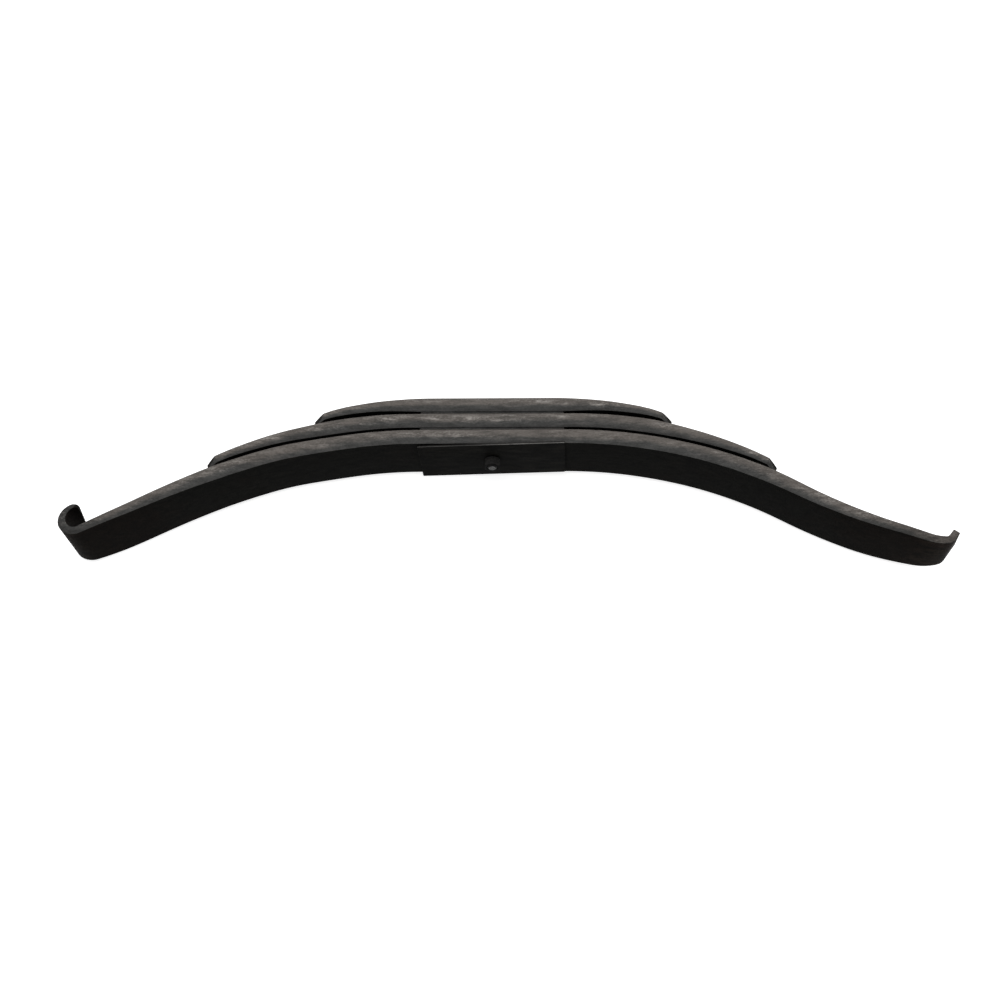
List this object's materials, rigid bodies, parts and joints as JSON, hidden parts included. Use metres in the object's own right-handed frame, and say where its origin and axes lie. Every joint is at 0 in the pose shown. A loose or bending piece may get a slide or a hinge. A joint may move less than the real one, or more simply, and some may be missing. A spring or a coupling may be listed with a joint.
{
  "type": "leaf spring",
  "caption": "Slipper leaf spring of long tapered leaves held by a centre bolt, with liners and a clamp plate, a curled hook at one end and a short upturned lip at the other.",
  "frame": {"origin": "on the lower crest of the main leaf's rounded edge, on the centre bolt's axis, with the main leaf's middle plane at Y = 0", "axes": "+X along the spring towards the lip end, +Y through the leaves from the main leaf to the shortest one, +Z across the width"},
  "size_m": [1.0949, 0.2249, 0.081],
  "materials": {
    "leaf_steel": "heat-treated spring steel under dark mill scale, worn grey and brown on its rounded edges",
    "liner_steel": "thin dark steel strip",
    "plate_steel": "dark scaled steel plate",
    "bolt_steel": "dull machined steel"
  },
  "bodies": {
    "clamped_centre": {"main_leaf_centre": "leaf_steel", "second_leaf_centre": "leaf_steel", "third_leaf_centre": "leaf_steel", "inner_liner": "liner_steel", "outer_liner": "liner_steel", "clamp_plate": "plate_steel", "centre_bolt": "bolt_steel", "centre_nut": "bolt_steel"},
    "hook_arm": {"main_leaf_hook_arm": "leaf_steel", "second_leaf_hook_arm": "leaf_steel", "third_leaf_hook_arm": "leaf_steel"},
    "lip_arm": {"main_leaf_lip_arm": "leaf_steel", "second_leaf_lip_arm": "leaf_steel", "third_leaf_lip_arm": "leaf_steel"}
  },
  "joints": [
    {"name": "hook_arm_flex", "type": "hinge", "parent": "clamped_centre", "child": "hook_arm", "pos_m": [-0.15, 0.0185, 0.0381], "axis": [0, 0, -1], "range_deg": [0, 9], "stiffness_Nm_per_rad": 95000},
    {"name": "lip_arm_flex", "type": "hinge", "parent": "clamped_centre", "child": "lip_arm", "pos_m": [0.15, 0.0185, 0.0381], "axis": [0, 0, 1], "range_deg": [0, 9], "stiffness_Nm_per_rad": 95000}
  ]
}
